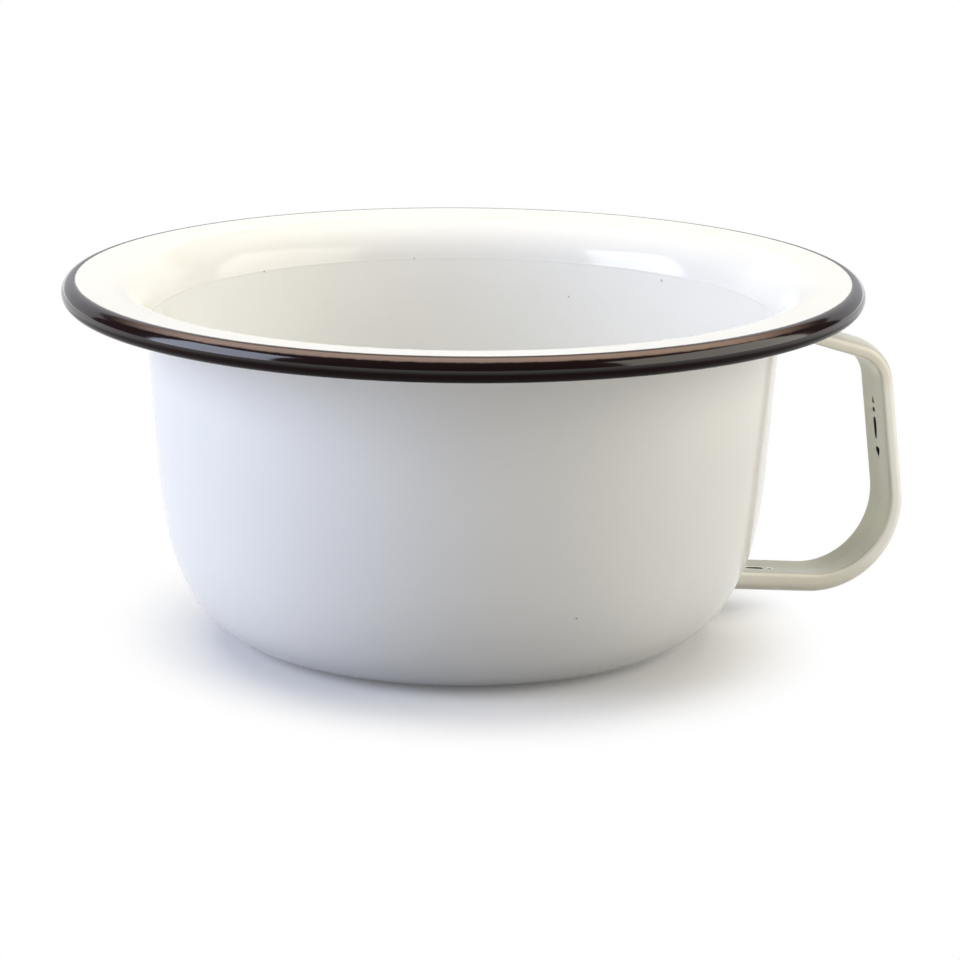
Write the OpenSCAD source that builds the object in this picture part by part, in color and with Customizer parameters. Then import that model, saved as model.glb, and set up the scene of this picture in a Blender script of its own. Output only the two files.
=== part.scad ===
// Chamber pot of enamelled sheet steel: a drawn vessel with a flared flange, a curled dark rim
// and a hollow strap handle that is rolled from one strip and welded on at both ends.
// Millimetres, +Z up. The origin is the middle of the circle the pot stands on; the handle is on +X.

/* [Vessel] */
// Diameter over the curled rim
rim_d = 260; // [252:1:275]
// Height from the table to the crest of the rim
pot_h = 119; // [108:1:135]
// Outside diameter at the top of the wall, where the flange begins
wall_d = 206; // [196:1:212]
// Thickness of the steel sheet with the enamel on both faces
sheet = 1.2; // [0.8:0.1:1.6]
// Lean of the straight wall away from upright, in degrees
wall_lean = 4.3; // [2:0.1:6]
// Outside radius of the corner between the base and the wall
corner_r = 31; // [26:1:34]
// Outside radius of the shoulder above the corner
shoulder_r = 68; // [55:1:80]
// Outside radius of the slow curve that runs into the straight wall
belly_r = 200; // [150:5:250]

/* [Base] */
// Width of the flat ring that the pot stands on
foot_w = 8; // [4:0.5:14]
// Height that the middle of the base is pushed up
base_lift = 2.2; // [1.3:0.1:4]

/* [Rim] */
// Diameter of the curled rim
bead_d = 8; // [6.5:0.5:10]
// Rise of the flange towards the rim, in degrees
flange_rise = 3; // [1:0.5:6]
// Inside radius of the bend from the wall into the flange
bend_r = 15; // [11:0.2:16]
// Change of direction at the crease where the bend begins, in degrees
crease_turn = 3; // [1:0.5:9]
// Turn of the curl from the flange round to its raw edge, in degrees
curl_turn = 285; // [240:1:295]

/* [Handle] */
// Width of the strap
strap_w = 18.5; // [15:0.5:22]
// Thickness of the rolled strap
strap_t = 6.8; // [6.2:0.1:8]
// Thickness of the strip that the strap is rolled from
strip = 1; // [0.7:0.1:1.2]
// Distance from the pot's axis to the lower bend of the finger space
reach = 153.5; // [146:0.5:165]
// Height of the lower bend of the finger space, before it is rounded
low_z = 8; // [7:0.2:13]
// Depth of the upper bend of the finger space below the crest of the rim, before it is rounded
high_drop = 36.1; // [33:0.1:44]
// Lean of the grip towards the pot, in degrees
grip_lean = 6.8; // [0:0.1:9]
// Fall of the lower arm away from the pot, in degrees
low_fall = 6.2; // [1:0.1:9]
// Fall of the upper arm away from the pot, in degrees
high_fall = 18.1; // [10:0.1:21]
// Inside radius of the lower bend
low_bend_r = 24.3; // [16:0.1:28]
// Inside radius of the upper bend
high_bend_r = 11; // [8:0.1:18]
// Radius of the edges next to the fingers
ridge_r = 1.5; // [1.3:0.1:2]
// Radius of the outer edges
edge_r = 2.5; // [2:0.1:3.2]
// Radius of the rounded back of the strap
back_r = 19; // [17:1:40]
// Slope of the two halves of the inner face towards the seam, in degrees
seam_slope = 6; // [2:0.5:10]
// Width of the slits that the enamel left open in the seam
slit_w = 2; // [0.4:0.1:3]
// Radius of the weld beads at the ends of the strap
weld_r = 2; // [1.5:0.1:2.5]

/* [Hidden] */
$fn = 96;
white = [0.93, 0.93, 0.91];
rim_dark = [0.1, 0.075, 0.07];
cream = [0.86, 0.84, 0.76];

// Direction along an angle, and direction out of the vessel where the sheet climbs at an angle
function along(a) = [cos(a), sin(a)];
function out_of(a) = [sin(a), -cos(a)];

// Points on an arc between two angles, at a step in degrees
function arc(c, r, from, to, step = 3) =
    let (n = ceil(abs(to - from) / step))
    [for (i = [0:n]) c + r * along(from + (to - from) * i / n)];

function reversed(list) = [for (i = [len(list) - 1:-1:0]) list[i]];

// Climb of the sheet where the corner ends, in degrees
corner_end = 60;
// Climb of the sheet where the shoulder ends, in degrees
shoulder_end = 80;
// Climb of the straight wall and of the start of the bend, in degrees
wall_a = 90 - wall_lean;
bend_a = wall_a - crease_turn;

// Rim curl and the end of the flange that runs into it, on the upper face of the sheet
bead_r = bead_d / 2;
bead_c = [rim_d / 2 - bead_r, pot_h - bead_r];
flange_out = bead_c - bead_r * out_of(flange_rise);

// Crease on the inner face, and the bend, which is limited by the room up to the rim
crease_x = wall_d / 2 - sheet * sin(wall_a);
flat_min = 0.5;
bend_share = sin(bend_a) - sin(flange_rise);
bend_in = min(bend_r, (flange_out[0] - crease_x - flat_min) / bend_share);
bend_run = bend_in * bend_share;
bend_climb = bend_in * (cos(flange_rise) - cos(bend_a));
flange_in = [crease_x + bend_run,
             flange_out[1] - (flange_out[0] - crease_x - bend_run) * tan(flange_rise)];
bend_c = flange_in + bend_in * out_of(flange_rise);
crease = [crease_x, flange_in[1] - bend_climb];
crease_out = crease + sheet / cos(crease_turn / 2) * out_of(wall_a - crease_turn / 2);

// Outside of the wall from the crease down to the foot, as arcs that run into each other
corner_step = (corner_r - shoulder_r) * out_of(corner_end);
shoulder_step = (shoulder_r - belly_r) * out_of(shoulder_end);
belly_step = belly_r * out_of(wall_a);
wall_low_z = corner_r + corner_step[1] + shoulder_step[1] + belly_step[1];
wall_low_x = crease_out[0] - (crease_out[1] - wall_low_z) / tan(wall_a);
foot_r = wall_low_x - corner_step[0] - shoulder_step[0] - belly_step[0];
corner_c = [foot_r, corner_r];
shoulder_c = corner_c + corner_step;
belly_c = shoulder_c + shoulder_step;

// Inner line of the handle: three straight runs, given by the angle that the back of each one faces
low_face = -90 - low_fall;
grip_face = grip_lean;
high_face = 90 - high_fall;
low_point = [reach, low_z];
high_z = pot_h - high_drop;
high_point = [reach - (high_z - low_z) * tan(grip_lean), high_z];
low_cut = low_bend_r * tan((grip_face - low_face) / 2);
high_cut = high_bend_r * tan((high_face - grip_face) / 2);
low_end = low_point - low_cut * along(low_face + 90);
grip_start = low_point + low_cut * along(grip_face + 90);
grip_end = high_point - high_cut * along(grip_face + 90);
high_start = high_point + high_cut * along(high_face + 90);

// The arms run on into the wall and are trimmed to it
low_len = (low_end[0] - foot_r - corner_r / 3) / cos(low_fall);
high_len = (high_start[0] - wall_d / 2 + 6) / cos(high_fall);
low_start = low_end - low_len * along(low_face + 90);

// Section of the strap: the first value of a point is outward, the second is across
half_w = strap_w / 2;
back_c = [strap_t - back_r, 0];
edge_a = asin((half_w - edge_r) / (back_r - edge_r));
edge_c = back_c + (back_r - edge_r) * along(edge_a);
ridge_c = [ridge_r, half_w - ridge_r];
face_start = ridge_c + ridge_r * along(180 + seam_slope);
seam_depth = face_start[0] + face_start[1] * tan(seam_slope);

// Straight runs are this much fuller than the bends and reach this far into them, to join cleanly
run_full = 0.02;
run_reach = 0.3;

// Slits that the enamel left open in the seam: distance from the lower or inner end of the run, length
grip_slits = [[9.4, 3.9], [15.6, 8.9], [25.4, 2.2], [28.4, 2.8]];
low_slits = [[22, 13], [37, 1.4]];

// Where the faces of the strap meet the wall
function on_corner(p, facing) =
    let (d = along(facing + 90), q = p - corner_c, b = q * d)
    p + (sqrt(b * b - q * q + corner_r * corner_r) - b) * d;
function on_wall(p, facing) =
    let (d = along(facing + 90), n = out_of(wall_a))
    p + ((crease_out - p) * n) / (d * n) * d;

// Outside of the vessel from the foot to the crease, or a line inside it at a depth
function wall_line(depth) = concat(
    arc(corner_c, corner_r - depth, -90, corner_end - 90),
    arc(shoulder_c, shoulder_r - depth, corner_end - 90, shoulder_end - 90),
    arc(belly_c, belly_r - depth, shoulder_end - 90, wall_a - 90));

// Under side of the base at a height above it, from the axis to the foot
function base_line(up) = [
    [0, base_lift + up],
    [foot_r - foot_w - 3 * base_lift, base_lift + up],
    [foot_r - foot_w, up]];

function bend_line(r) = arc(bend_c, r, bend_a + 90, flange_rise + 90);

// Outside of the vessel from the foot to the end of the flange
outside = concat(wall_line(0), bend_line(bend_in - sheet),
                 [flange_out + sheet * out_of(flange_rise)]);

// Drawn vessel: base, wall, bend and flange in one sheet
module pot_body() {
    top = concat(base_line(sheet), wall_line(sheet), bend_line(bend_in), [flange_out]);
    color(white) rotate_extrude() polygon(concat(base_line(0), outside, reversed(top)));
}

// Edge of the same sheet, curled outward and under, in its own dark enamel
module rim_bead() {
    start = flange_rise + 90;
    cut = [for (i = [0:8]) bead_c + bead_d * along(start - curl_turn * i / 8)];
    color(rim_dark) rotate_extrude() difference() {
        intersection() {
            translate(bead_c) circle(bead_r);
            polygon(concat([bead_c], cut));
        }
        translate(bead_c) circle(bead_r - sheet);
    }
}

// Space that the vessel takes up, for trimming what meets its outside
module vessel_space() {
    rotate_extrude($fn = 720) polygon(concat([[0, 0]], outside, [[0, pot_h]]));
}

// Outline of the strap, grown by a distance
function strap_outline(grow) =
    let (half = concat(
        arc(back_c, back_r + grow, 0, edge_a, 5),
        arc(edge_c, edge_r + grow, edge_a, 90, 12),
        arc(ridge_c, ridge_r + grow, 90, 180 + seam_slope, 15),
        [[seam_depth - grow / cos(seam_slope), 0]]))
    concat(half, [for (i = [len(half) - 2:-1:1]) [half[i][0], -half[i][1]]]);

module strap_section(full) {
    difference() {
        polygon(strap_outline(full));
        polygon(strap_outline(-strip - full));
    }
}

// Straight run of a section from p, with its back facing an angle
module run(p, facing, length) {
    translate([p[0], 0, p[1]]) rotate([0, -facing, 0]) linear_extrude(length) children();
}

// Bend of a section that starts at p, from one facing to another
module bend(p, r, from, to) {
    c = p - r * along(from);
    translate([c[0], 0, c[1]]) rotate([0, -from, 0]) rotate([90, 0, 0])
        rotate_extrude(angle = to - from) translate([r, 0]) children();
}

module low_arm() {
    run(low_start, low_face, low_len + run_reach) children();
}

module grip() {
    run(grip_start - run_reach * along(grip_face + 90), grip_face,
        norm(grip_end - grip_start) + 2 * run_reach) children();
}

module high_arm() {
    run(high_start - run_reach * along(high_face + 90), high_face, high_len) children();
}

module seam_slits(p, facing, slits) {
    for (s = slits)
        run(p + s[0] * along(facing + 90), facing, s[1])
            translate([-1, -slit_w / 2]) square([seam_depth + strip + 1.5, slit_w]);
}

// Hollow strap handle, rolled so that the edges of the strip meet in a seam next to the fingers
module handle() {
    color(cream) difference() {
        union() {
            low_arm() strap_section(run_full);
            bend(low_end, low_bend_r, low_face, grip_face) strap_section(0);
            grip() strap_section(run_full);
            bend(grip_end, high_bend_r, grip_face, high_face) strap_section(0);
            high_arm() strap_section(run_full);
        }
        vessel_space();
        seam_slits(low_start, low_face, low_slits);
        seam_slits(grip_start, grip_face, grip_slits);
    }
}

// Bead of weld across the strap, in the corner between the strap and the wall at p
module weld(p) {
    span = strap_w - 4 * weld_r;
    color(cream) difference() {
        translate([p[0], 0, p[1]]) {
            rotate([90, 0, 0]) cylinder(r = weld_r, h = span, center = true);
            for (side = [-1, 1]) translate([0, side * span / 2, 0]) sphere(weld_r);
        }
        vessel_space();
        low_arm() polygon(strap_outline(run_full));
        high_arm() polygon(strap_outline(run_full));
    }
}

module upper_weld_over() {
    weld(on_wall(high_start + strap_t * along(high_face), high_face));
}

module upper_weld_under() {
    weld(on_wall(high_start, high_face));
}

module lower_weld_over() {
    weld(on_corner(low_start, low_face));
}

module lower_weld_under() {
    weld(on_corner(low_start + strap_t * along(low_face), low_face));
}

pot_body();
rim_bead();
handle();
upper_weld_over();
upper_weld_under();
lower_weld_over();
lower_weld_under();
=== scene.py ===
"""Enamelled chamber pot: the finished looks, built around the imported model."""

from math import asin, atan, cos, pi, radians, sin, sqrt, tan
from types import SimpleNamespace

import bmesh
import bpy
from mathutils import Matrix, Vector


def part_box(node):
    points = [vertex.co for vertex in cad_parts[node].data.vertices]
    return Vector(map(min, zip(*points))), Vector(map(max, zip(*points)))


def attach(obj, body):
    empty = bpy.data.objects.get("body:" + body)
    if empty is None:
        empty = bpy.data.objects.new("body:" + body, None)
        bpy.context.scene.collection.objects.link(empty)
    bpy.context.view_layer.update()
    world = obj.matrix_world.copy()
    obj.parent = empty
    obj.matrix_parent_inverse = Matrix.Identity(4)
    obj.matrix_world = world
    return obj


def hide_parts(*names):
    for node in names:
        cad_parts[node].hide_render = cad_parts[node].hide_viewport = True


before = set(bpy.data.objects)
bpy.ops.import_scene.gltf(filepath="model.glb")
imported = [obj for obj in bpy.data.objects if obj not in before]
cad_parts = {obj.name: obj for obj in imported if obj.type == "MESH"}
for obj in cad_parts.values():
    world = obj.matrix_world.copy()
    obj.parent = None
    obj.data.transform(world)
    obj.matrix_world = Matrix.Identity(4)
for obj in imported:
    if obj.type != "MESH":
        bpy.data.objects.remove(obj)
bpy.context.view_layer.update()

bl_info = {
    "name": "Chamber pot",
    "version": (1, 0, 0),
    "blender": (4, 5, 0),
    "location": "View3D > Sidebar > Chamber pot",
    "description": "Builds an enamelled chamber pot with a dark rim and a strap handle",
    "category": "Object",
}

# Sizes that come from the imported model
RIM_LOW, RIM_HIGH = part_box("rim_bead")
MM = 0.001
SAME_POINT = 1e-6


def length(name, description, millimetres):
    """A property for a length, given in millimetres and kept in metres."""
    return bpy.props.FloatProperty(
        name=name, description=description, default=millimetres * MM, precision=5, unit="LENGTH")


def angle(name, description, degrees):
    """A property for an angle, given in degrees."""
    return bpy.props.FloatProperty(
        name=name, description=description, default=radians(degrees), precision=3, unit="ROTATION")


def colour(name, description, red, green, blue):
    """A property for a colour in linear light."""
    return bpy.props.FloatVectorProperty(
        name=name, description=description, default=(red, green, blue),
        size=3, min=0, max=1, subtype="COLOR")


class VesselSizes(bpy.types.PropertyGroup):
    """Sizes of the drawn vessel and its curled rim"""

    rim_d: length("Rim diameter", "Over the curled rim", (RIM_HIGH.y - RIM_LOW.y) / MM)
    pot_h: length("Height", "From the table to the crest of the rim", RIM_HIGH.z / MM)
    wall_d: length("Wall diameter", "Outside, at the top of the wall", 206)
    sheet: length("Sheet", "Steel with the enamel on both faces", 1.2)
    wall_lean: angle("Wall lean", "Of the straight wall, away from upright", 4.3)
    corner_r: length("Corner radius", "Outside, between the base and the wall", 31)
    shoulder_r: length("Shoulder radius", "Outside, above the corner", 68)
    belly_r: length("Belly radius", "Outside, where the curve runs into the straight wall", 200)
    foot_w: length("Foot width", "Of the flat ring that the pot stands on", 8)
    base_lift: length("Base lift", "How far the middle of the base is pushed up", 2.2)
    bead_d: length("Rim curl", "Diameter of the curled rim", 8)
    flange_rise: angle("Flange rise", "Towards the rim", 3)
    bend_r: length("Bend radius", "Inside, from the wall into the flange", 15)
    crease_turn: angle("Crease turn", "Change of direction where the bend begins", 3)
    curl_turn: angle("Curl turn", "From the flange round to the raw edge", 285)


class HandleSizes(bpy.types.PropertyGroup):
    """Sizes of the strap handle"""

    strap_w: length("Strap width", "Across the fingers", 18.5)
    low_t: length("Lower arm thickness", "From the ridges to the back", 7.7)
    grip_t: length("Grip thickness", "From the ridges to the back, above the lower bend", 5.8)
    strip: length("Strip", "Thickness of the strip that the strap is rolled from", 0.9)
    reach: length("Reach", "From the axis to the lower bend of the finger space", 153.5)
    low_z: length("Lower bend height", "Of the finger space, before it is rounded", 8)
    high_drop: length("Upper bend depth", "Below the crest of the rim, before it is rounded", 36.1)
    grip_lean: angle("Grip lean", "Towards the pot", 6.8)
    low_fall: angle("Lower arm fall", "Away from the pot", 6.2)
    high_fall: angle("Upper arm fall", "Away from the pot", 18.1)
    low_bend_r: length("Lower bend radius", "Inside", 24.3)
    high_bend_r: length("Upper bend radius", "Inside", 11)
    ridge_r: length("Ridge radius", "Of the edges next to the fingers", 1.3)
    edge_r: length("Edge radius", "Of the outer edges", 3.6)
    back_r: length("Back radius", "Of the rounded back", 19)
    seam_slope: angle("Seam slope", "Of the two halves of the inner face, towards the seam", 4)
    seam_w: length("Seam width", "Of the enamel that bridges the seam", 0.9)
    arm_lean: angle("Lower arm lean", "About the line of the lower arm, down at its near side", 1)
    weld_leg: length("Weld leg", "Of the fillets at the ends of the strap", 2)


class EnamelAndPaintedLight(bpy.types.PropertyGroup):
    """Colours of the enamels, and of the painted light and shade on the rim and the handle"""

    white: colour("White", "Enamel of the vessel", 0.86, 0.86, 0.85)
    milk: colour("Milk", "Where the white enamel lies thinner", 0.82, 0.825, 0.82)
    dark: colour("Dark", "Enamel of the rim", 0.014, 0.007, 0.007)
    # Thin dark enamel that shows brownish, used as a painted highlight along the front of the rim's crest
    thin_brown_highlight: colour("Brown", "Where the dark enamel thins out over the white", 0.27, 0.195, 0.16)
    cream: colour("Cream", "Enamel of the handle", 0.79, 0.77, 0.67)
    ivory: colour("Ivory", "Where the cream enamel lies thicker", 0.83, 0.81, 0.72)
    # Painted light along the edges of the grip
    pale: colour("Pale", "Along the edges of the grip", 0.97, 0.97, 0.94)
    # Painted shade on the top of the upper arm
    shade: colour("Shade", "On the top of the upper arm", 0.585, 0.58, 0.555)
    # Painted light on the inner face of the grip, lighter than the handle's cream
    sand_lit: colour("Sand", "Enamel on the inner face of the grip", 0.84, 0.85, 0.75)
    # Painted shade on the inner face of the lower arm
    stone_shade: colour("Stone", "Enamel on the inner face of the lower arm", 0.51, 0.515, 0.465)
    hollow: colour("Hollow", "Burnt ground coat inside the strap", 0.02, 0.016, 0.01)
    rust: colour("Rust", "Where the ground coat is thin", 0.06, 0.045, 0.03)
    pit: colour("Pit", "Dark specks in the white enamel", 0.5, 0.48, 0.44)


class StageSettings(bpy.types.PropertyGroup):
    """Place and lens of the camera"""

    camera_round: angle("Camera round", "Turn of the camera round the pot, from the front", -18.3)
    camera_away: length("Camera distance", "Along the floor from the pot's axis", 1275.64)
    camera_up: length("Camera height", "Above the floor", 365.4)
    camera_aside: angle("Camera aside", "Turn of the view to the right of the axis", 0.263)
    camera_down: angle("Camera down", "Tilt of the view below level", 13.863)
    camera_roll: angle("Camera roll", "Turn about the line of sight", 0.493)
    lens: bpy.props.FloatProperty(
        name="Lens", description="Focal length", default=150, subtype="DISTANCE_CAMERA")


# Drawing in the XZ plane with a pen, which is a vertex

def along(turn):
    """Direction at an angle above the X axis."""
    return Vector((cos(turn), 0, sin(turn)))


def out_of(turn):
    """Direction out of the vessel where the sheet climbs at an angle."""
    return Vector((sin(turn), 0, -cos(turn)))


def flat(x, z):
    return Vector((x, 0, z))


def line_to(bm, pen, point, steps=1):
    """Draws a straight line from the pen and returns the new pen."""
    start = pen.co.copy()
    for i in range(steps):
        pen = bmesh.ops.extrude_vert_indiv(bm, verts=[pen])["verts"][0]
        pen.co = start.lerp(point, (i + 1) / steps)
    return pen


def arc_about(bm, pen, centre, turn, steps, axis=(0, -1, 0)):
    """Draws an arc from the pen and returns the new pen."""
    made = bmesh.ops.spin(bm, geom=[pen], cent=centre, axis=axis, angle=turn, steps=steps)
    return next(g for g in made["geom_last"] if isinstance(g, bmesh.types.BMVert))


def turn_on_wheel(bm, steps):
    """Spins the drawn line round the pot's axis into a closed skin."""
    bmesh.ops.spin(
        bm, geom=bm.verts[:] + bm.edges[:], cent=(0, 0, 0), axis=(0, 0, 1),
        angle=2 * pi, steps=steps, use_merge=True)
    bmesh.ops.remove_doubles(bm, verts=bm.verts[:], dist=SAME_POINT)
    bmesh.ops.recalc_face_normals(bm, faces=bm.faces[:])


def finish_piece(name, bm, materials, nodes):
    """Makes the object of a piece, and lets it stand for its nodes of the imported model."""
    mesh = bpy.data.meshes.new(name)
    for face in bm.faces:
        face.smooth = True
    bm.to_mesh(mesh)
    bm.free()
    for material in materials:
        mesh.materials.append(material)
    piece = bpy.data.objects.new(name, mesh)
    bpy.context.scene.collection.objects.link(piece)
    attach(piece, "root")
    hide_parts(*nodes)
    return piece


# Lines of the vessel

CORNER_END = radians(60)
SHOULDER_END = radians(80)
# Last row of faces below the crease, which keeps its shading crisp
CREASE_ROW = 0.8 * MM


def vessel_lines(size):
    """Centres and meeting points of the arcs and lines that make the vessel's section."""
    wall_a = pi / 2 - size.wall_lean
    bend_a = wall_a - size.crease_turn
    bead_r = size.bead_d / 2
    bead_c = flat(size.rim_d / 2 - bead_r, size.pot_h - bead_r)
    flange_out = bead_c - bead_r * out_of(size.flange_rise)
    crease_x = size.wall_d / 2 - size.sheet * sin(wall_a)
    bend_run = size.bend_r * (sin(bend_a) - sin(size.flange_rise))
    bend_climb = size.bend_r * (cos(size.flange_rise) - cos(bend_a))
    flange_x = crease_x + bend_run
    flange_in = flat(flange_x, flange_out.z - (flange_out.x - flange_x) * tan(size.flange_rise))
    crease = flat(crease_x, flange_in.z - bend_climb)
    crease_out = crease + size.sheet * out_of(wall_a - size.crease_turn / 2)
    corner_step = (size.corner_r - size.shoulder_r) * out_of(CORNER_END)
    shoulder_step = (size.shoulder_r - size.belly_r) * out_of(SHOULDER_END)
    belly_step = size.belly_r * out_of(wall_a)
    rise = flat(0, size.corner_r) + corner_step + shoulder_step + belly_step
    foot_r = crease_out.x - (crease_out.z - rise.z) / tan(wall_a) - rise.x
    corner_c = flat(foot_r, size.corner_r)
    shoulder_c = corner_c + corner_step
    belly_c = shoulder_c + shoulder_step
    arcs = ((corner_c, size.corner_r, CORNER_END),
            (shoulder_c, size.shoulder_r, SHOULDER_END),
            (belly_c, size.belly_r, wall_a))
    return SimpleNamespace(
        wall_a=wall_a, bend_a=bend_a, bead_r=bead_r, bead_c=bead_c, flange_out=flange_out,
        bend_c=flange_in + size.bend_r * out_of(size.flange_rise), crease=crease, crease_out=crease_out,
        foot_r=foot_r, corner_c=corner_c, shoulder_c=shoulder_c, belly_c=belly_c, arcs=arcs)


def draw_base(bm, size, lines, up):
    """Base at a height above its under side, from the axis to the foot: flat, a soft step down, flat."""
    step_w = 3 * size.base_lift
    step_turn = 2 * atan(size.base_lift / step_w)
    step_r = step_w / 2 / sin(step_turn)
    ring_in = lines.foot_r - size.foot_w
    pen = bm.verts.new(flat(0, size.base_lift + up))
    pen = line_to(bm, pen, flat(ring_in - step_w, size.base_lift + up), 6)
    pen = arc_about(bm, pen, flat(ring_in - step_w, size.base_lift - step_r), -step_turn, 5)
    pen = arc_about(bm, pen, flat(ring_in, step_r), step_turn, 5)
    return line_to(bm, pen, flat(lines.foot_r, up), 2)


def draw_wall(bm, size, lines, pen, depth):
    """Wall from the foot to the end of the flange, at a depth below the outside."""
    pen = arc_about(bm, pen, lines.corner_c, CORNER_END, 16)
    pen = arc_about(bm, pen, lines.shoulder_c, SHOULDER_END - CORNER_END, 8)
    pen = arc_about(bm, pen, lines.belly_c, lines.wall_a - SHOULDER_END, 6)
    crease = lines.bend_c + (size.bend_r - size.sheet + depth) * along(lines.bend_a + pi / 2)
    pen = line_to(bm, pen, crease - CREASE_ROW * along(lines.wall_a), 8)
    pen = line_to(bm, pen, crease)
    pen = arc_about(bm, pen, lines.bend_c, size.flange_rise - lines.bend_a, 22)
    end = lines.flange_out + (size.sheet - depth) * out_of(size.flange_rise)
    return line_to(bm, pen, end, 5)


def sharpen(edges):
    """Shades the faces on both sides of the edges apart."""
    for edge in edges:
        edge.smooth = False


class POT_OT_vessel(bpy.types.Operator):
    """Draws the vessel's section and spins it: base, wall, bend and flange in one sheet"""

    bl_idname = "chamber_pot.vessel"
    bl_label = "Vessel"

    def execute(self, context):
        size = context.scene.pot_vessel
        lines = vessel_lines(size)
        bm = bmesh.new()
        under = draw_wall(bm, size, lines, draw_base(bm, size, lines, 0), 0)
        top = draw_wall(bm, size, lines, draw_base(bm, size, lines, size.sheet), size.sheet)
        bm.edges.new((under, top))
        turn_on_wheel(bm, 192)
        flange_end = lines.flange_out.x - 10 * SAME_POINT
        sharpen([e for e in bm.edges if all(v.co.xy.length > flange_end for v in e.verts)])
        for face in bm.faces:
            face.material_index = 0 if face.normal.z > 0 else 1
        materials = [inner_enamel(context.scene, lines), outer_enamel(context.scene, lines)]
        finish_piece("vessel", bm, materials, ["pot_body"])
        return {"FINISHED"}


class POT_OT_rim(bpy.types.Operator):
    """Draws the curl of the sheet's edge and spins it"""

    bl_idname = "chamber_pot.rim"
    bl_label = "Rim"

    def execute(self, context):
        size = context.scene.pot_vessel
        lines = vessel_lines(size)
        bm = bmesh.new()
        start = size.flange_rise + pi / 2
        first = bm.verts.new(lines.bead_c + lines.bead_r * along(start))
        pen = arc_about(bm, first, lines.bead_c, -size.curl_turn, 60)
        inner_r = lines.bead_r - size.sheet
        pen = line_to(bm, pen, lines.bead_c + inner_r * along(start - size.curl_turn))
        pen = arc_about(bm, pen, lines.bead_c, size.curl_turn, 36)
        bm.edges.new((pen, first))
        turn_on_wheel(bm, 240)
        finish_piece("rim", bm, [rim_enamel(context.scene, lines)], ["rim_bead"])
        return {"FINISHED"}


# Lines of the handle

# How far the upper arm runs into the wall before it is trimmed
OVERRUN = 8 * MM
# How far the trimmed ends of the strap reach into the wall
SINK = 0.4 * MM
# Height above and below an end of the strap within which it is trimmed
END_ZONE = 20 * MM
# Rows of faces come no closer than this to the end of a slit
ROW_GAP = 1.2 * MM
# Width of the pale lip round a slit
LIP_W = 0.3 * MM
# Room between the strap and the inner ring of a weld, and how far a weld reaches into the wall
WELD_ROOM = 0.02 * MM
WELD_SINK = 0.2 * MM


def handle_lines(size, pot, walls):
    """Inner line of the handle: three straight runs and two bends, with the angle that each back faces."""
    low_face = -pi / 2 - size.low_fall
    grip_face = size.grip_lean
    high_face = pi / 2 - size.high_fall
    low_point = flat(size.reach, size.low_z)
    climb = pot.pot_h - size.high_drop - size.low_z
    high_point = low_point + flat(-climb * tan(size.grip_lean), climb)
    low_cut = size.low_bend_r * tan((grip_face - low_face) / 2)
    high_cut = size.high_bend_r * tan((high_face - grip_face) / 2)
    low_end = low_point - low_cut * along(low_face + pi / 2)
    grip_start = low_point + low_cut * along(grip_face + pi / 2)
    grip_end = high_point - high_cut * along(grip_face + pi / 2)
    high_start = high_point + high_cut * along(high_face + pi / 2)
    # Both arms run on into the wall, and are trimmed to it later
    low_run = (low_end.x - walls.foot_r - pot.corner_r / 3) / cos(size.low_fall)
    high_run = (high_start.x - pot.wall_d / 2 + OVERRUN) / cos(size.high_fall)
    return SimpleNamespace(
        low_face=low_face, grip_face=grip_face, high_face=high_face,
        low_run=low_run, high_run=high_run,
        low_start=low_end - low_run * along(low_face + pi / 2), low_end=low_end,
        grip_start=grip_start, grip_end=grip_end, high_start=high_start,
        low_c=low_end - size.low_bend_r * along(low_face),
        high_c=grip_end - size.high_bend_r * along(grip_face),
        middle=(low_end + high_start) / 2)


def draw_strap(bm, size, grow=0):
    """Outline of the strap, with X outward and Y across, grown by a distance."""
    half_w = size.strap_w / 2
    back_c = Vector((size.low_t - size.back_r, 0, 0))
    edge_a = asin((half_w - size.edge_r) / (size.back_r - size.edge_r))
    edge_c = back_c + (size.back_r - size.edge_r) * Vector((cos(edge_a), sin(edge_a), 0))
    ridge_c = Vector((size.ridge_r, half_w - size.ridge_r, 0))
    face_a = pi + size.seam_slope
    face_start = ridge_c + (size.ridge_r + grow) * Vector((cos(face_a), sin(face_a), 0))
    seam_y = size.seam_w / 2
    seam = face_start + (face_start.y - seam_y) * Vector((tan(size.seam_slope), -1, 0))
    up = (0, 0, 1)
    pen = bm.verts.new((size.low_t + grow, 0, 0))
    pen = arc_about(bm, pen, back_c, edge_a, 6, up)
    pen = arc_about(bm, pen, edge_c, pi / 2 - edge_a, 6, up)
    pen = line_to(bm, pen, ridge_c + Vector((0, size.ridge_r + grow, 0)))
    pen = arc_about(bm, pen, ridge_c, pi / 2 + size.seam_slope, 8, up)
    pen = line_to(bm, pen, seam, 3)
    half = bm.verts[:] + bm.edges[:]
    bmesh.ops.mirror(bm, geom=half, axis="Y", merge_dist=SAME_POINT)
    bm.verts.ensure_lookup_table()
    ends = [v for v in bm.verts if len(v.link_edges) == 1]
    bm.edges.new(ends)
    return bm.edges[:]


def carry_along(bm, edges, direction, stations):
    """Carries a loop of edges along a straight run, with a row at each station."""
    done = 0
    for station in stations:
        made = bmesh.ops.extrude_edge_only(bm, edges=edges)["geom"]
        verts = [g for g in made if isinstance(g, bmesh.types.BMVert)]
        edges = [g for g in made if isinstance(g, bmesh.types.BMEdge)]
        bmesh.ops.translate(bm, verts=verts, vec=(station - done) * direction)
        done = station
    return edges


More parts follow.
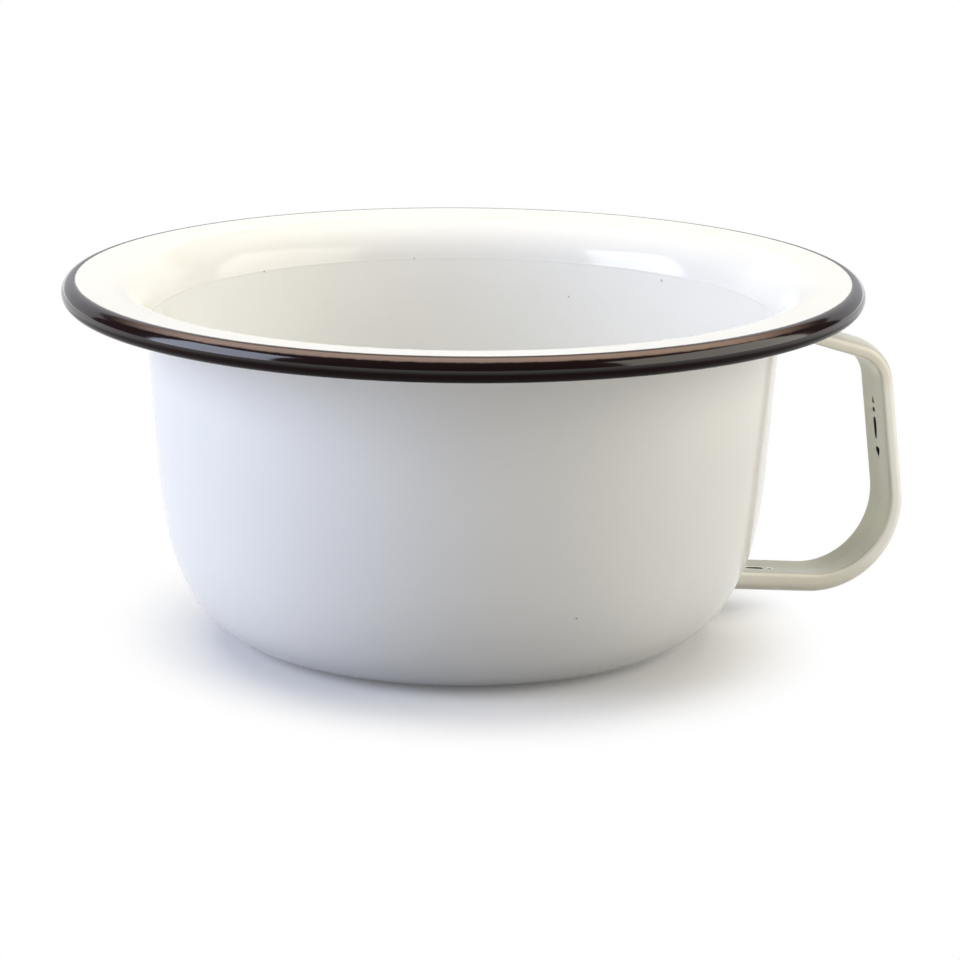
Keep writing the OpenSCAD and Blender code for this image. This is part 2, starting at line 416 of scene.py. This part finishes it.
def carry_round(bm, edges, centre, radius, turn, steps, thin=1.0):
    """Carries a loop of edges round a bend of an inside radius, and thins the strap by a factor."""
    for i in range(steps):
        verts = list({v for e in edges for v in e.verts})
        made = bmesh.ops.spin(
            bm, geom=verts + edges, cent=centre, axis=(0, -1, 0), angle=turn / steps, steps=1)["geom_last"]
        edges = [g for g in made if isinstance(g, bmesh.types.BMEdge)]
        for vert in {v for e in edges for v in e.verts}:
            spoke = flat(vert.co.x - centre.x, vert.co.z - centre.z)
            vert.co += spoke.normalized() * (spoke.length - radius) * (thin ** (1 / steps) - 1)
    return edges


def evenly(run, steps):
    return [run * (i + 1) / steps for i in range(steps)]


# Slits that the enamel left open in the seam, in millimetres: start and length along the run, width at
# both ends, distance to the far side of the seam. In the lower arm the start counts back from its bend
GRIP_SLITS = ((9.4, 4.4, 0.4, 5, 0.2), (15.6, 8.9, 1.8, 2.8, 0.9),
              (25.4, 2.2, 2, 2, 1), (28.4, 3.2, 2.4, 0.5, 1))
ARM_SLITS = ((-22.8, 7.6, 3.3, 3.4, -0.9), (-14.4, 1.7, 2.8, 1.6, -1.2))


def slit_stations(run, slits):
    """Stations along a run that take in the ends of its slits."""
    ends = [(begin + part * share) * MM for begin, part, *_ in slits for share in (0, 0.5, 1)]
    return sorted(ends + [x for x in evenly(run, 8) if all(abs(x - e) > ROW_GAP for e in ends)])


def open_slits(bm, size, start, face, slits):
    """Opens the slits in the strip of faces along the seam of a run."""
    near = size.seam_w / 2 + 10 * SAME_POINT
    direction = along(face + pi / 2)
    inward = -along(face)
    for slit in slits:
        begin, run, low_w, high_w, aside = (value * MM for value in slit)
        strip = []
        for quad in bm.faces:
            place = quad.calc_center_median() - start
            on_run = begin < place.dot(direction) < begin + run and abs(place.dot(inward)) < size.strip
            if on_run and all(abs(v.co.y) < near for v in quad.verts):
                strip.append(quad)
        if not strip:
            raise RuntimeError("a slit found no faces along the seam")
        for vert in {v for f in strip for v in f.verts}:
            share = ((vert.co - start).dot(direction) - begin) / run
            half_w = (low_w + (high_w - low_w) * share) / 2
            vert.co.y = aside + (half_w if vert.co.y > 0 else -half_w)
            vert.co += inward * max(abs(vert.co.y) - size.seam_w / 2, 0) * tan(size.seam_slope)
        lip = bmesh.ops.inset_region(bm, faces=strip, thickness=LIP_W, use_even_offset=True)["faces"]
        for quad in lip:
            quad.material_index = 2
        bmesh.ops.delete(bm, geom=strip, context="FACES")


def lean_arm(bm, size, loop):
    """Leans the lower arm to its near side, fading out through the lower bend."""
    top = loop.grip_start.z
    bottom = loop.low_end.z
    for vert in bm.verts:
        share = min(max((top - vert.co.z) / (top - bottom), 0), 1)
        vert.co.z += share * share * vert.co.y * tan(size.arm_lean)


def carry_strap(bm, size, loop, arm_slits):
    """Carries the strap's outline along the lower arm, up the grip and along the upper arm."""
    edges = draw_strap(bm, size)
    bmesh.ops.rotate(bm, verts=bm.verts[:], matrix=Matrix.Rotation(-loop.low_face, 3, "Y"))
    bmesh.ops.translate(bm, verts=bm.verts[:], vec=loop.low_start)
    low_way = along(loop.low_face + pi / 2)
    grip_way = along(loop.grip_face + pi / 2)
    high_way = along(loop.high_face + pi / 2)
    low_turn = loop.grip_face - loop.low_face
    high_turn = loop.high_face - loop.grip_face
    grip_run = (loop.grip_end - loop.grip_start).length
    edges = carry_along(bm, edges, low_way, slit_stations(loop.low_run, arm_slits))
    edges = carry_round(bm, edges, loop.low_c, size.low_bend_r, low_turn, 30, size.grip_t / size.low_t)
    edges = carry_along(bm, edges, grip_way, slit_stations(grip_run, GRIP_SLITS))
    edges = carry_round(bm, edges, loop.high_c, size.high_bend_r, high_turn, 18)
    carry_along(bm, edges, high_way, evenly(loop.high_run, 6))
    bmesh.ops.recalc_face_normals(bm, faces=bm.faces[:])


def mark_inner_face(bm, loop):
    """Gives the second material to the faces that look into the finger space."""
    for quad in bm.faces:
        towards = loop.middle - quad.calc_center_median()
        quad.material_index = 1 if quad.normal.dot(towards) > 0 and abs(quad.normal.y) < 0.5 else 0


def hollow_out(piece, size):
    """Gives the strap the thickness of its strip, with the hollow's material inside, and smooths it."""
    wall = piece.modifiers.new("strip", "SOLIDIFY")
    wall.thickness = size.strip
    wall.offset = -1
    wall.material_offset = 3
    wall.material_offset_rim = 3
    smooth = piece.modifiers.new("smooth", "SUBSURF")
    smooth.levels = 1
    smooth.render_levels = 1


class POT_OT_handle(bpy.types.Operator):
    """Carries the strap's outline along the loop, opens the slits in its seam and trims it to the wall"""

    bl_idname = "chamber_pot.handle"
    bl_label = "Handle"

    def execute(self, context):
        size = context.scene.pot_handle
        walls = vessel_lines(context.scene.pot_vessel)
        loop = handle_lines(size, context.scene.pot_vessel, walls)
        arm_slits = [(loop.low_run / MM + begin, *rest) for begin, *rest in ARM_SLITS]
        bm = bmesh.new()
        carry_strap(bm, size, loop, arm_slits)
        mark_inner_face(bm, loop)
        open_slits(bm, size, loop.low_start, loop.low_face, arm_slits)
        open_slits(bm, size, loop.grip_start, loop.grip_face, GRIP_SLITS)
        lean_arm(bm, size, loop)
        trim_to_wall(bm, wall_plane(walls, loop.high_start, loop.high_face, size.grip_t))
        trim_to_wall(bm, wall_plane(walls, loop.low_end, loop.low_face, size.low_t))
        hues = context.scene.pot_colours
        hollow = hollow_coat(hues)
        materials = [handle_enamel(hues), inner_face_enamel(hues), lip_enamel(hues), hollow, hollow, hollow]
        piece = finish_piece("strap_handle", bm, materials, ["handle"])
        hollow_out(piece, size)
        return {"FINISHED"}


def wall_radius(walls, z):
    """Outside radius of the vessel at a height below the crease."""
    for centre, radius, end in walls.arcs:
        if z < centre.z - radius * cos(end):
            return centre.x + sqrt(radius ** 2 - (z - centre.z) ** 2)
    return walls.crease_out.x - (walls.crease_out.z - z) / tan(walls.wall_a)


def towards_pot(face):
    """Direction of an arm of the strap, towards the pot."""
    way = along(face + pi / 2)
    return way if way.x < 0 else -way


def on_wall(walls, point, way):
    """Where a line towards the pot meets the outside of the wall, found by stepping up to it."""
    for i in range(40):
        point = point + way * (point.x - wall_radius(walls, point.z)) * 0.8
    return point


def wall_plane(walls, start, face, thick):
    """Plane of the wall across an end of the strap: its middle and its direction away from the pot."""
    way = towards_pot(face)
    inner = on_wall(walls, start, way)
    outer = on_wall(walls, start + thick * along(face), way)
    upright = (inner - outer).normalized()
    normal = Vector((abs(upright.z), 0, -upright.x if upright.z > 0 else upright.x))
    return (inner + outer) / 2, normal


def trim_to_wall(bm, plane):
    """Cuts off what lies inside the wall, a little under its outside."""
    middle, normal = plane
    cut = middle - SINK * normal
    bmesh.ops.bisect_plane(
        bm, geom=bm.verts[:] + bm.edges[:] + bm.faces[:], dist=SAME_POINT / 10,
        plane_co=cut, plane_no=normal, clear_inner=False, clear_outer=False)
    inside = [v for v in bm.verts if (v.co - cut).dot(normal) < -SAME_POINT
              and abs(v.co.z - middle.z) < END_ZONE]
    bmesh.ops.delete(bm, geom=inside, context="VERTS")


class POT_OT_welds(bpy.types.Operator):
    """Makes a fillet round each end of the strap, where it is welded to the wall"""

    bl_idname = "chamber_pot.welds"
    bl_label = "Welds"

    def execute(self, context):
        size = context.scene.pot_handle
        walls = vessel_lines(context.scene.pot_vessel)
        loop = handle_lines(size, context.scene.pot_vessel, walls)
        material = weld_enamel(context.scene.pot_colours)
        for name, start, face, thick in (("upper_weld", loop.high_start, loop.high_face, size.grip_t),
                                         ("lower_weld", loop.low_end, loop.low_face, size.low_t)):
            bm = weld_fillet(size, walls, start, face, thick)
            lean_arm(bm, size, loop)
            finish_piece(name, bm, [material], [name + "_over", name + "_under"])
        return {"FINISHED"}


def weld_fillet(size, walls, start, face, thick):
    """A hollow quarter round from the strap to the wall, as rings that are bridged one to the next."""
    way = towards_pot(face)
    normal = wall_plane(walls, start, face, thick)[1]
    lean = -along(face).dot(normal) / way.dot(normal)
    across = along(face) + lean * way
    inner = on_wall(walls, start, way)
    bm = bmesh.new()
    rings = []
    steps = 5
    for i in range(steps + 1):
        turn = pi / 2 * i / steps
        back = size.weld_leg * (1 - sin(turn))
        grow = size.weld_leg * (1 - cos(turn)) + WELD_ROOM
        one = bmesh.new()
        draw_strap(one, size, grow)
        place = Matrix.Identity(4)
        place.col[0].xyz = across * thick / size.low_t
        place.col[1].xyz = (0, 1, 0)
        place.col[2].xyz = -way
        place.translation = inner - back * way
        bmesh.ops.transform(one, matrix=place, verts=one.verts[:])
        for vert in one.verts:
            dip = vert.co.xy.length - vert.co.x
            vert.co += way * (dip + WELD_SINK)
        ring = bpy.data.meshes.new("ring")
        one.to_mesh(ring)
        one.free()
        before = set(bm.edges)
        bm.from_mesh(ring)
        bpy.data.meshes.remove(ring)
        rings.append([e for e in bm.edges if e not in before])
    for first, second in zip(rings, rings[1:]):
        bmesh.ops.bridge_loops(bm, edges=first + second)
    bmesh.ops.recalc_face_normals(bm, faces=bm.faces[:])
    return bm


# Finishes

# Height of the slow waves in the white enamel
WAVE = 0.06 * MM


class Finish:
    """A material under construction: adds nodes and joins them."""

    def __init__(self, name):
        self.material = bpy.data.materials.new(name)
        self.material.use_nodes = True
        self.tree = self.material.node_tree
        self.shader = self.tree.nodes["Principled BSDF"]
        self.place = self.add("TexCoord").outputs["Object"]

    def add(self, kind, **settings):
        node = self.tree.nodes.new("ShaderNode" + kind)
        for key, value in settings.items():
            setattr(node, key, value)
        return node

    def join(self, source, target):
        self.tree.links.new(source, target)

    def feed(self, socket, value):
        """Gives a socket a value, or a link where the value is another node's output."""
        if isinstance(value, bpy.types.NodeSocket):
            self.join(value, socket)
        else:
            socket.default_value = value

    def sums(self, operation, first, second=0.0, clamp=False):
        node = self.add("Math", operation=operation, use_clamp=clamp)
        self.feed(node.inputs[0], first)
        self.feed(node.inputs[1], second)
        return node.outputs[0]

    def scaled(self, value, factor, offset=0.0):
        node = self.add("Math", operation="MULTIPLY_ADD")
        self.join(value, node.inputs[0])
        node.inputs[1].default_value = factor
        node.inputs[2].default_value = offset
        return node.outputs[0]

    def vector(self, operation, first, second=(0, 0, 0)):
        node = self.add("VectorMath", operation=operation)
        self.feed(node.inputs[0], first)
        self.feed(node.inputs[1], second)
        return node

    def noise(self, scale, detail):
        node = self.add("TexNoise")
        self.join(self.place, node.inputs["Vector"])
        node.inputs["Scale"].default_value = scale
        node.inputs["Detail"].default_value = detail
        return node.outputs["Fac"]

    def between(self, value, low, high):
        """0 below low, 1 above high, and a soft step from one to the other."""
        node = self.add("MapRange", interpolation_type="SMOOTHSTEP")
        self.feed(node.inputs["Value"], value)
        node.inputs["From Min"].default_value = low
        node.inputs["From Max"].default_value = high
        return node.outputs["Result"]

    def blend(self, share, first, second):
        """Mixes two colours."""
        node = self.add("Mix", data_type="RGBA")
        self.feed(node.inputs[0], share)
        self.feed(node.inputs[6], paint(first))
        self.feed(node.inputs[7], paint(second))
        return node.outputs[2]

    def ripple(self, height):
        """Lets the surface rise and fall by a height in metres."""
        node = self.add("Bump")
        node.inputs["Strength"].default_value = 1.0
        node.inputs["Distance"].default_value = 1.0
        self.join(height, node.inputs["Height"])
        self.join(node.outputs["Normal"], self.shader.inputs["Normal"])

    def from_axis(self):
        """Distance from the pot's axis."""
        level = self.vector("MULTIPLY", self.place, (1, 1, 0)).outputs["Vector"]
        return self.vector("LENGTH", level).outputs["Value"]

    def height(self):
        return self.part("Z")

    def across(self):
        """Distance from the plane through the middle of the handle."""
        return self.sums("ABSOLUTE", self.part("Y"))

    def part(self, axis):
        node = self.add("SeparateXYZ")
        self.join(self.place, node.inputs[0])
        return node.outputs[axis]

    def glaze(self, base, roughness):
        self.feed(self.shader.inputs["Base Color"], base)
        self.feed(self.shader.inputs["Roughness"], roughness)
        self.shader.inputs["IOR"].default_value = 1.5
        return self.material


def paint(value):
    """A colour with full cover, or another node's output as it is."""
    return value if isinstance(value, bpy.types.NodeSocket) else (*value, 1.0)


# Dark specks in the white enamel: turn about the axis in degrees, height and half width in millimetres
INNER_SPECKS = ((114, 105.2, 0.5), (81.5, 105.4, 0.4), (50.4, 93.5, 0.45), (29.7, 103, 0.6))
OUTER_SPECKS = ((-86.2, 28.4, 0.5),)


def white_coat(e, scene, specks, lines, depth):
    """White enamel, thinner in places, with specks at a depth below the outside."""
    hues = scene.pot_colours
    base = e.blend(e.between(e.noise(9, 3), 0.35, 0.7), hues.white, hues.milk)
    for turn, up, half_w in specks:
        reach = wall_radius(lines, up * MM) - depth
        place = Matrix.Rotation(radians(turn), 3, "Z") @ Vector((reach, 0, up * MM))
        away = e.vector("DISTANCE", e.place, place).outputs["Value"]
        base = e.blend(e.between(away, half_w * MM / 2, half_w * MM), hues.pit, base)
    return base


def inner_enamel(scene, lines):
    """White enamel of the inside, with a raised line along the crease and the rim's dark edge."""
    e = Finish("inner_enamel")
    base = white_coat(e, scene, INNER_SPECKS, lines, scene.pot_vessel.sheet)
    ragged = e.scaled(e.noise(420, 3), 0.5 * MM, -0.25 * MM)
    edge = e.sums("ADD", e.from_axis(), ragged)
    lap_w = 0.6 * MM
    lap = e.between(edge, lines.flange_out.x - lap_w, lines.flange_out.x)
    base = e.blend(lap, base, scene.pot_colours.dark)
    up = e.height()
    crease = lines.crease.z
    ridge_w = 0.7 * MM
    ridge_h = 0.08 * MM
    below = e.between(up, crease - ridge_w, crease)
    above = e.between(up, crease, crease + ridge_w)
    ridge = e.scaled(e.sums("SUBTRACT", below, above), ridge_h)
    e.ripple(e.sums("ADD", e.scaled(e.noise(55, 2), WAVE), ridge))
    return e.glaze(base, e.scaled(e.noise(60, 2), 0.06, 0.1))


def outer_enamel(scene, lines):
    """White enamel of the outside, a little duller."""
    e = Finish("outer_enamel")
    base = white_coat(e, scene, OUTER_SPECKS, lines, 0)
    e.ripple(e.scaled(e.noise(55, 2), WAVE))
    e.shader.inputs["Specular IOR Level"].default_value = 0.35
    return e.glaze(base, e.scaled(e.noise(60, 2), 0.06, 0.12))


def rim_enamel(scene, lines):
    """Dark enamel of the rim, with a painted highlight along the front of its crest, where thin dark enamel
    shows brownish; duller underneath.
    """
    hues = scene.pot_colours
    middle = lines.bead_c
    e = Finish("rim_enamel")
    radius = e.from_axis()
    up = e.height()
    streaks = e.scaled(e.noise(300, 3), 0.4 * MM, -0.2 * MM)
    begins = e.between(radius, middle.x + 0.5 * MM, middle.x + 1.6 * MM)
    ends = e.between(e.sums("ADD", radius, streaks), middle.x + 2.6 * MM, middle.x + 3.1 * MM)
    highlight_band = e.sums("SUBTRACT", begins, ends, clamp=True)
    highlight_band = e.sums("MULTIPLY", highlight_band, e.between(up, middle.z, middle.z + 1 * MM))
    # The painted highlight is kept to the side of the rim that faces the camera
    front = Matrix.Rotation(scene.pot_stage.camera_round, 3, "Z") @ Vector((0, -1, 0))
    towards = e.vector("DOT_PRODUCT", e.place, front).outputs["Value"]
    highlight_band = e.sums("MULTIPLY", highlight_band, e.between(towards, middle.x * 0.5, middle.x * 0.85))
    base = e.blend(highlight_band, hues.dark, hues.thin_brown_highlight)
    e.ripple(e.scaled(e.noise(70, 2), 0.05 * MM))
    shine = e.scaled(e.between(up, middle.z - 1.2 * MM, middle.z + 0.4 * MM), 0.47, 0.03)
    e.join(shine, e.shader.inputs["Specular IOR Level"])
    return e.glaze(base, e.scaled(e.noise(80, 2), 0.06, 0.08))


def handle_enamel(hues):
    """Cream enamel of the handle, with painted light along the edges of the grip and painted shade on top
    of the upper arm.
    """
    e = Finish("handle_enamel")
    base = e.blend(e.between(e.noise(45, 3), 0.35, 0.7), hues.cream, hues.ivory)
    up = e.height()
    side = e.between(e.across(), 8.2 * MM, 9.1 * MM)
    upper = e.between(up, 70 * MM, 85 * MM)
    top = e.sums("MULTIPLY", upper, e.sums("SUBTRACT", 1.0, side))
    grip = e.sums("SUBTRACT", e.between(up, 8 * MM, 18 * MM), upper, clamp=True)
    # Painted shade on the top of the upper arm, and painted light along the edges of the grip
    base = e.blend(top, base, hues.shade)
    base = e.blend(e.sums("MULTIPLY", side, grip), base, hues.pale)
    e.ripple(e.scaled(e.noise(120, 2), 0.08 * MM))
    return e.glaze(base, e.scaled(e.noise(90, 2), 0.08, 0.14))


def inner_face_enamel(hues):
    """Duller enamel on the inner face of the handle, with painted shade along the lower arm and painted
    light on the grip, lighter than the handle's cream.
    """
    e = Finish("inner_face_enamel")
    # Painted shade low on the lower arm, fading up into painted light on the grip
    climb = e.scaled(e.between(e.height(), 11 * MM, 30 * MM), 0.86)
    base = e.blend(e.sums("ADD", climb, e.scaled(e.noise(45, 3), 0.14)), hues.stone_shade, hues.sand_lit)
    e.ripple(e.scaled(e.noise(120, 2), 0.08 * MM))
    e.shader.inputs["Specular IOR Level"].default_value = 0.1
    return e.glaze(base, e.scaled(e.noise(90, 2), 0.08, 0.14))


def weld_enamel(hues):
    """Cream enamel that flowed over the welds."""
    e = Finish("weld_enamel")
    base = e.blend(e.between(e.noise(45, 3), 0.35, 0.7), hues.cream, hues.ivory)
    e.ripple(e.scaled(e.noise(200, 3), 0.12 * MM))
    return e.glaze(base, e.scaled(e.noise(90, 2), 0.08, 0.14))


def lip_enamel(hues):
    """Paler enamel that gathered along the edges of the slits."""
    e = Finish("lip_enamel")
    base = e.blend(e.noise(300, 2), hues.ivory, hues.milk)
    return e.glaze(base, e.scaled(e.noise(90, 2), 0.2, 0.1))


def hollow_coat(hues):
    """Burnt ground coat inside the strap."""
    e = Finish("hollow_coat")
    base = e.blend(e.noise(400, 3), hues.hollow, hues.rust)
    return e.glaze(base, e.scaled(e.noise(200, 2), 0.3, 0.3))


# Stage

# From the middle of the floor to each of its sides, in metres
FLOOR_REACH = 60
# Distances from the pot's axis at which the floor starts to turn white, and is white
SHADOW_REACH = 93 * MM
WHITE_FROM = 140 * MM
# How much nearer both lie along the handle than across it
SHADOW_OVAL = 1.17
# Light that the floor gives next to the pot
NEAR_LIFT = 0.086
# Paper as it is seen next to the pot, and as it lights the pot
PAPER = (0.86, 0.86, 0.86)
PAPER_BOUNCE = (0.45, 0.45, 0.45)
BLACK = (0, 0, 0)


def lamp(view, name, turn, away, up, aim_up, size, power, tint):
    """A soft lamp at a turn from the camera's right-hand side, aimed at a height on the pot's axis."""
    data = bpy.data.lights.new(name, "AREA")
    data.shape = "RECTANGLE"
    data.size, data.size_y = size
    data.energy = power
    data.color = tint
    obj = bpy.data.objects.new(name, data)
    obj.location = Matrix.Rotation(view.camera_round + radians(turn), 3, "Z") @ Vector((away, 0, up))
    obj.rotation_euler = (Vector((0, 0, aim_up)) - obj.location).to_track_quat("-Z", "Y").to_euler()
    bpy.context.scene.collection.objects.link(obj)
    return obj


class POT_OT_stage(bpy.types.Operator):
    """Makes the floor, the lamps and the camera"""

    bl_idname = "chamber_pot.stage"
    bl_label = "Stage"

    def execute(self, context):
        scene = context.scene
        make_floor()
        make_lamps(scene)
        make_camera(scene)
        scene.view_settings.view_transform = "Standard"
        return {"FINISHED"}


def make_floor():
    bm = bmesh.new()
    bmesh.ops.create_grid(bm, x_segments=1, y_segments=1, size=FLOOR_REACH)
    mesh = bpy.data.meshes.new("floor")
    bm.to_mesh(mesh)
    bm.free()
    floor = bpy.data.objects.new("floor", mesh)
    bpy.context.scene.collection.objects.link(floor)
    mesh.materials.append(floor_paper())


def floor_paper():
    """Paper with a painted glow for the camera and for reflections, which grows to plain white away from
    the pot: it hides the shadows beyond an oval round the pot and keeps the pot's shadow next to it.
    """
    e = Finish("floor_paper")
    e.shader.inputs["Roughness"].default_value = 0.9
    e.shader.inputs["Specular IOR Level"].default_value = 0.0
    way = e.add("LightPath")
    seen = e.sums("MAXIMUM", way.outputs["Is Camera Ray"], way.outputs["Is Glossy Ray"])
    seen = e.sums("MAXIMUM", seen, way.outputs["Is Transmission Ray"])
    oval = e.add("Mapping")
    oval.inputs["Scale"].default_value.x = SHADOW_OVAL
    e.join(e.place, oval.inputs["Vector"])
    away = e.vector("LENGTH", oval.outputs["Vector"]).outputs["Value"]
    # Share of the painted glow, which takes over from the lit paper beyond an oval round the pot
    glow_share = e.between(away, SHADOW_REACH, WHITE_FROM)
    paper = e.blend(glow_share, PAPER, BLACK)
    e.join(e.blend(seen, PAPER_BOUNCE, paper), e.shader.inputs["Base Color"])
    # Painted glow: a little next to the pot, full white beyond the oval
    lift = e.scaled(glow_share, 1 - NEAR_LIFT, NEAR_LIFT)
    e.shader.inputs["Emission Color"].default_value = (1, 1, 1, 1)
    e.join(e.sums("MULTIPLY", seen, lift), e.shader.inputs["Emission Strength"])
    return e.material


def make_lamps(scene):
    """A cool window at the left, a warm wall at the right, a pale room behind and a soft ceiling."""
    world = bpy.data.worlds.new("room")
    world.use_nodes = True
    world.node_tree.nodes["Background"].inputs["Color"].default_value = (0.03, 0.03, 0.03, 1)
    scene.world = world
    view = scene.pot_stage
    lamp(view, "window", turn=197, away=1.6, up=0.72, aim_up=0.72,
         size=(1.2, 1.4), power=31, tint=(0.75, 0.81, 1.0))
    lamp(view, "warm_wall", turn=-14, away=1.6, up=0.8, aim_up=0.8,
         size=(2.0, 1.5), power=25.5, tint=(1.0, 0.95, 0.85))
    room = lamp(view, "back_room", turn=92, away=2.2, up=0.72, aim_up=0.72,
                size=(5.6, 1.44), power=19, tint=(0.95, 0.96, 1.0))
    room.visible_diffuse = False
    ceiling = lamp(view, "ceiling", turn=90, away=0.47, up=1.75, aim_up=0.06,
                   size=(2.4, 2.4), power=45.5, tint=(1.0, 0.95, 0.82))
    ceiling.visible_glossy = False


def make_camera(scene):
    view = scene.pot_stage
    data = bpy.data.cameras.new("camera")
    data.lens = view.lens
    data.sensor_width = 36
    camera = bpy.data.objects.new("camera", data)
    scene.collection.objects.link(camera)
    stand = Matrix.Rotation(view.camera_round, 4, "Z") @ Vector((0, -view.camera_away, view.camera_up))
    aim = (Matrix.Rotation(view.camera_round - view.camera_aside, 4, "Z")
           @ Matrix.Rotation(pi / 2 - view.camera_down, 4, "X")
           @ Matrix.Rotation(view.camera_roll, 4, "Z"))
    camera.matrix_world = Matrix.Translation(stand) @ aim
    scene.camera = camera


class POT_PT_panel(bpy.types.Panel):
    """Lists the steps that build the pot and its stage, and the sizes and colours that they use"""

    bl_label = "Chamber pot"
    bl_idname = "POT_PT_panel"
    bl_space_type = "VIEW_3D"
    bl_region_type = "UI"
    bl_category = "Chamber pot"

    def draw(self, context):
        for step in STEPS:
            self.layout.operator(step.bl_idname)
        for name, group in GROUPS.items():
            box = self.layout.box()
            for value in group.__annotations__:
                box.prop(getattr(context.scene, name), value)


STEPS = (POT_OT_vessel, POT_OT_rim, POT_OT_handle, POT_OT_welds, POT_OT_stage)
GROUPS = {"pot_vessel": VesselSizes, "pot_handle": HandleSizes,
          "pot_colours": EnamelAndPaintedLight, "pot_stage": StageSettings}


def register():
    for cls in (*GROUPS.values(), *STEPS, POT_PT_panel):
        bpy.utils.register_class(cls)
    for name, group in GROUPS.items():
        setattr(bpy.types.Scene, name, bpy.props.PointerProperty(type=group))


def unregister():
    for name in GROUPS:
        delattr(bpy.types.Scene, name)
    for cls in reversed((*GROUPS.values(), *STEPS, POT_PT_panel)):
        bpy.utils.unregister_class(cls)


def main():
    register()
    bpy.ops.chamber_pot.vessel()
    bpy.ops.chamber_pot.rim()
    bpy.ops.chamber_pot.handle()
    bpy.ops.chamber_pot.welds()
    bpy.ops.chamber_pot.stage()


if __name__ == "__main__":
    main()
